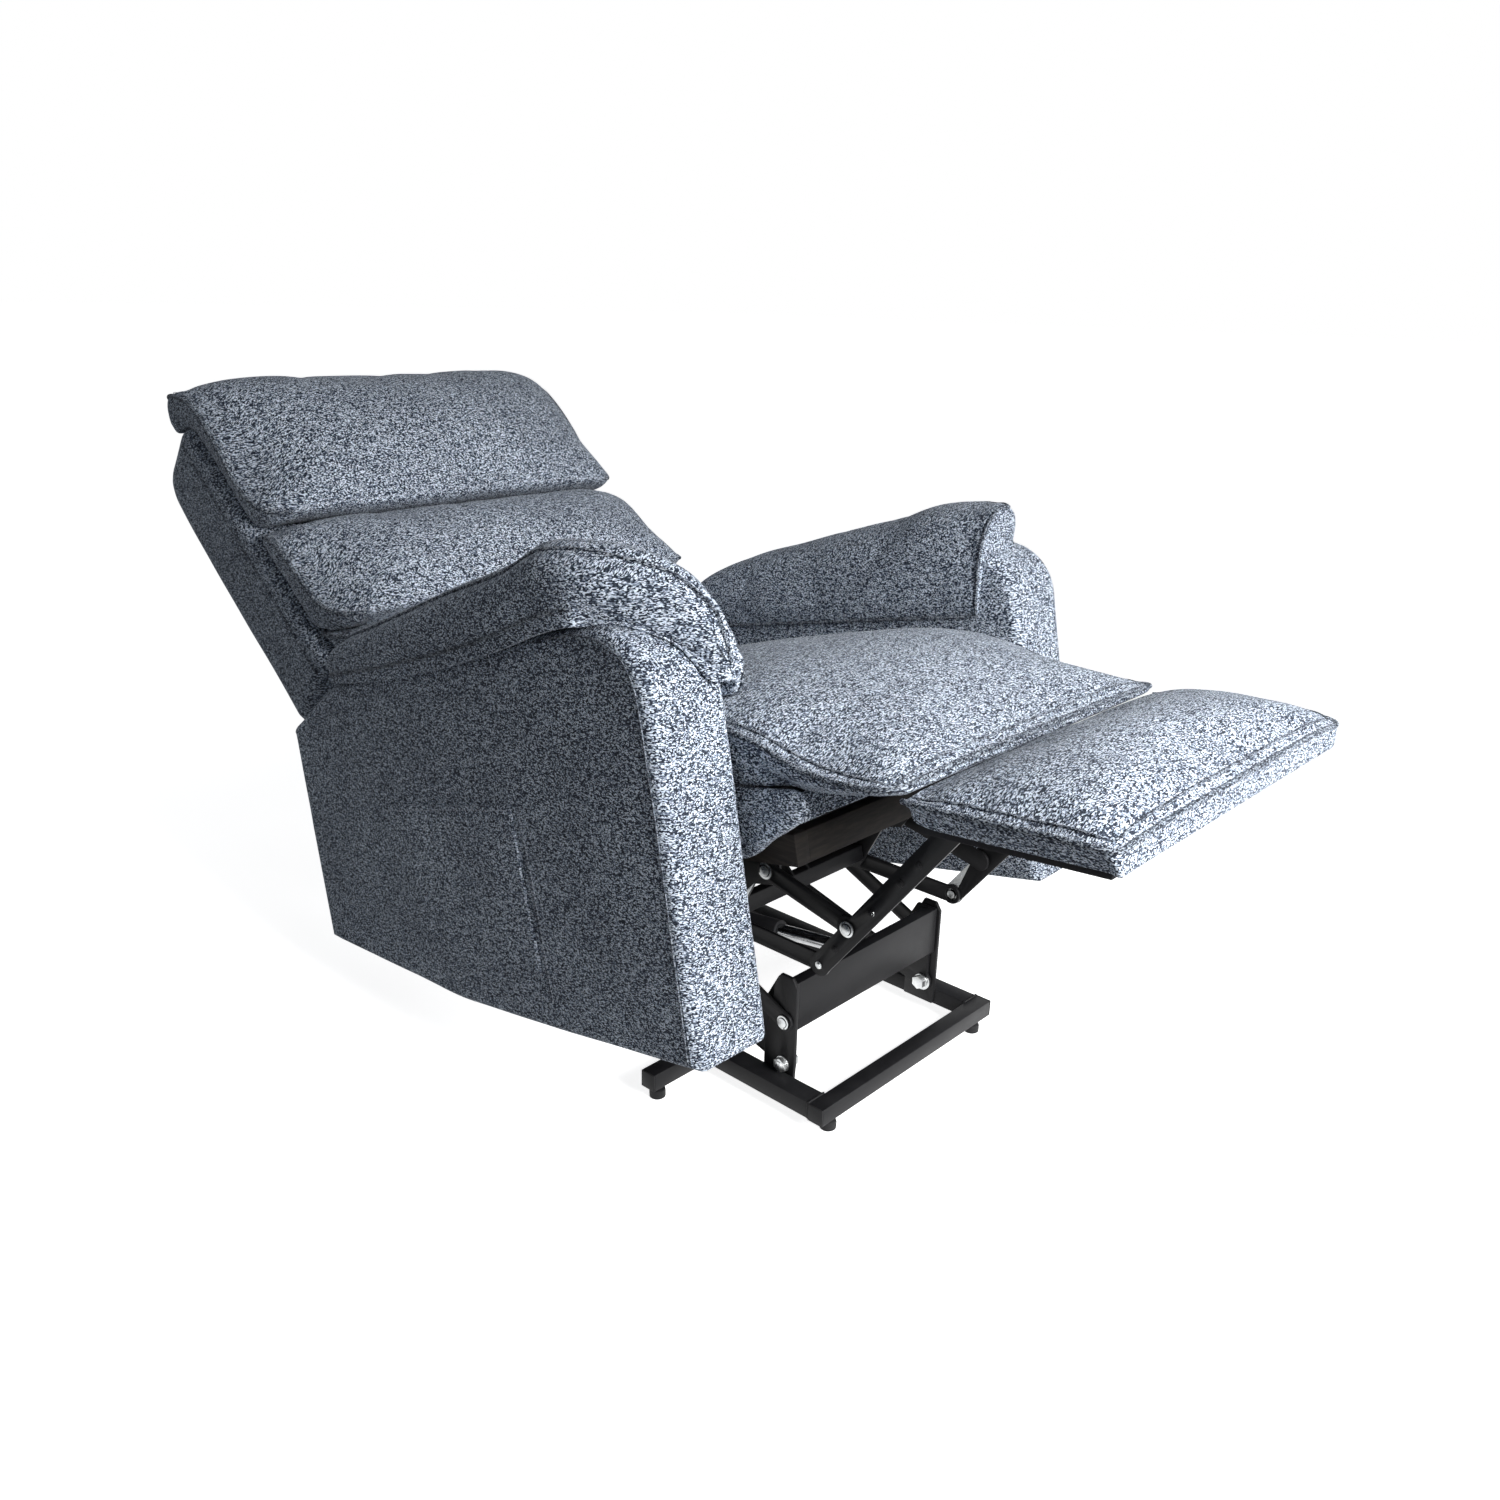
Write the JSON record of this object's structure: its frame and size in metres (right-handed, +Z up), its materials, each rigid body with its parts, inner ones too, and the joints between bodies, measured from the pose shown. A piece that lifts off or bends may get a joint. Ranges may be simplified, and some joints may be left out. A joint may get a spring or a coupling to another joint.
{
  "type": "lift recliner chair",
  "caption": "Powered lift recliner chair, reclined, with padded arms, tiered back cushions, folding footrest linkage and a lift linkage on a tubular floor frame.",
  "frame": {"origin": "on the floor, under the middle of the chair's outline in the reclined pose", "axes": "+Z up, the sitter faces -Y, +X is the sitter's left"},
  "size_m": [0.85, 1.7017, 0.8682],
  "materials": {
    "black_steel": "semi-gloss black powder coat",
    "black_plastic": "moulded, matte",
    "zinc": "bright zinc plate",
    "motor_case": "moulded, satin",
    "rod_steel": "plated tube",
    "cover_fabric": "flecked slate blue chenille",
    "cushion_fabric": "flecked slate blue chenille over foam",
    "frame_wood": "bare plywood",
    "webbing": "elastic strap"
  },
  "bodies": {
    "base": {"base_front_tube": "black_steel", "base_side_rail_left": "black_steel", "base_side_rail_right": "black_steel", "base_rear_tube": "black_steel", "outrigger_left": "black_steel", "outrigger_right": "black_steel", "tube_end_caps": "black_plastic", "glide_feet": "black_plastic", "base_bracket_left": "black_steel", "base_bracket_right": "black_steel", "front_pivot_bolts": "zinc"},
    "lift_arm": {"lift_arm_left": "black_steel", "lift_arm_right": "black_steel", "front_cross_member": "black_steel"},
    "lift_link": {"lift_link_left": "black_steel", "lift_link_right": "black_steel"},
    "lift_motor": {"lift_motor": "motor_case"},
    "lift_rod": {"lift_rod": "rod_steel"},
    "carriage": {"carriage_plate_left": "black_steel", "carriage_plate_right": "black_steel", "carriage_torque_tube": "black_steel", "carriage_cross_tube": "black_steel", "arm_stubs": "black_steel", "arm_panel_left": "cover_fabric", "arm_panel_right": "cover_fabric", "arm_pad_left": "cushion_fabric", "arm_pad_right": "cushion_fabric", "side_pocket": "cover_fabric"},
    "swing_front": {"swing_front_left": "black_steel", "swing_front_right": "black_steel"},
    "swing_rear": {"swing_rear_left": "black_steel", "swing_rear_right": "black_steel"},
    "seat": {"seat_plate_left": "black_steel", "seat_plate_right": "black_steel", "seat_cross_tube": "black_steel", "seat_cross_rails": "black_steel", "seat_frame": "frame_wood", "seat_webbing": "webbing", "seat_box_cover": "cover_fabric", "seat_cushion": "cushion_fabric"},
    "back": {"back_shell": "cover_fabric", "back_hinge_plates": "black_steel", "headrest_cushion": "cushion_fabric", "middle_cushion": "cushion_fabric", "lumbar_cushion": "cushion_fabric"},
    "recline_motor": {"recline_motor": "motor_case"},
    "recline_rod": {"recline_rod": "rod_steel"},
    "foot_upper": {"foot_upper_link_left": "black_steel", "foot_upper_link_right": "black_steel"},
    "foot_lower": {"foot_lower_link_left": "black_steel", "foot_lower_link_right": "black_steel"},
    "foot_bar": {"foot_bar_left": "black_steel", "foot_bar_right": "black_steel"},
    "footrest": {"footrest_rail_left": "black_steel", "footrest_rail_right": "black_steel", "footrest_cross_bar": "black_steel", "footrest_board": "frame_wood", "footrest_pad": "cushion_fabric"}
  },
  "joints": [
    {"name": "lift", "type": "hinge", "parent": "base", "child": "lift_arm", "pos_m": [0, -0.376, 0.055], "axis": [1, 0, 0], "range_deg": [0, 40]},
    {"name": "carriage_level", "type": "hinge", "parent": "lift_arm", "child": "carriage", "pos_m": [0, -0.041, 0.15], "axis": [1, 0, 0], "range_deg": [-21.8, 0]},
    {"name": "lift_link_turn", "type": "hinge", "parent": "base", "child": "lift_link", "pos_m": [0, -0.37893, 0.12], "axis": [1, 0, 0], "range_deg": [0, 38.2]},
    {"name": "lift_motor_turn", "type": "hinge", "parent": "base", "child": "lift_motor", "pos_m": [0, 0.169, 0.08], "axis": [1, 0, 0], "range_deg": [0, 2.7]},
    {"name": "lift_rod_slide", "type": "slide", "parent": "lift_motor", "child": "lift_rod", "axis": [0, -0.9901, 0.1406], "range_m": [0, 0.06723]},
    {"name": "recline", "type": "hinge", "parent": "carriage", "child": "swing_front", "pos_m": [0, -0.10639, 0.17884], "axis": [-1, 0, 0], "range_deg": [0, 66]},
    {"name": "swing_rear_turn", "type": "hinge", "parent": "carriage", "child": "swing_rear", "pos_m": [0, 0.08924, 0.13726], "axis": [-1, 0, 0], "range_deg": [0, 66.6]},
    {"name": "seat_level", "type": "hinge", "parent": "swing_front", "child": "seat", "pos_m": [0, -0.1494, 0.29087], "axis": [1, 0, 0], "range_deg": [0, 66.6]},
    {"name": "back_turn", "type": "hinge", "parent": "seat", "child": "back", "pos_m": [0, 0.17826, 0.3637], "axis": [1, 0, 0], "range_deg": [0, 25.6]},
    {"name": "recline_motor_turn", "type": "hinge", "parent": "seat", "child": "recline_motor", "pos_m": [0, -0.2247, 0.25715], "axis": [1, 0, 0], "range_deg": [-1.99, 0]},
    {"name": "recline_rod_slide", "type": "slide", "parent": "recline_motor", "child": "recline_rod", "axis": [0, 0.9994, -0.0336], "range_m": [0, 0.05653]},
    {"name": "foot_upper_turn", "type": "hinge", "parent": "seat", "child": "foot_upper", "pos_m": [0, -0.32204, 0.30902], "axis": [1, 0, 0], "range_deg": [0, 32.6]},
    {"name": "foot_lower_turn", "type": "hinge", "parent": "seat", "child": "foot_lower", "pos_m": [0, -0.24002, 0.21297], "axis": [1, 0, 0], "range_deg": [0, 26.2]},
    {"name": "foot_bar_turn", "type": "hinge", "parent": "foot_upper", "child": "foot_bar", "pos_m": [0, -0.46102, 0.27804], "axis": [1, 0, 0], "range_deg": [-48.9, 0]},
    {"name": "footrest_turn", "type": "hinge", "parent": "foot_bar", "child": "footrest", "pos_m": [0, -0.60861, 0.46143], "axis": [1, 0, 0], "range_deg": [0, 99.9]}
  ],
  "couplings": [
    {"joint": "carriage_level", "follows": "lift", "ratio": -0.53},
    {"joint": "lift_link_turn", "follows": "lift", "ratio": 0.94},
    {"joint": "lift_motor_turn", "follows": "lift", "ratio": 0.052439},
    {"joint": "lift_rod_slide", "follows": "lift", "m_per_rad": 0.094862},
    {"joint": "swing_rear_turn", "follows": "recline", "ratio": 1},
    {"joint": "seat_level", "follows": "recline", "ratio": 1},
    {"joint": "back_turn", "follows": "recline", "ratio": 0.37879},
    {"joint": "recline_motor_turn", "follows": "recline", "ratio": -0.021111},
    {"joint": "recline_rod_slide", "follows": "recline", "m_per_rad": 0.048204},
    {"joint": "foot_upper_turn", "follows": "recline", "ratio": 0.48485},
    {"joint": "foot_lower_turn", "follows": "recline", "ratio": 0.38788},
    {"joint": "foot_bar_turn", "follows": "recline", "ratio": -0.73182},
    {"joint": "footrest_turn", "follows": "recline", "ratio": 1.5045}
  ]
}
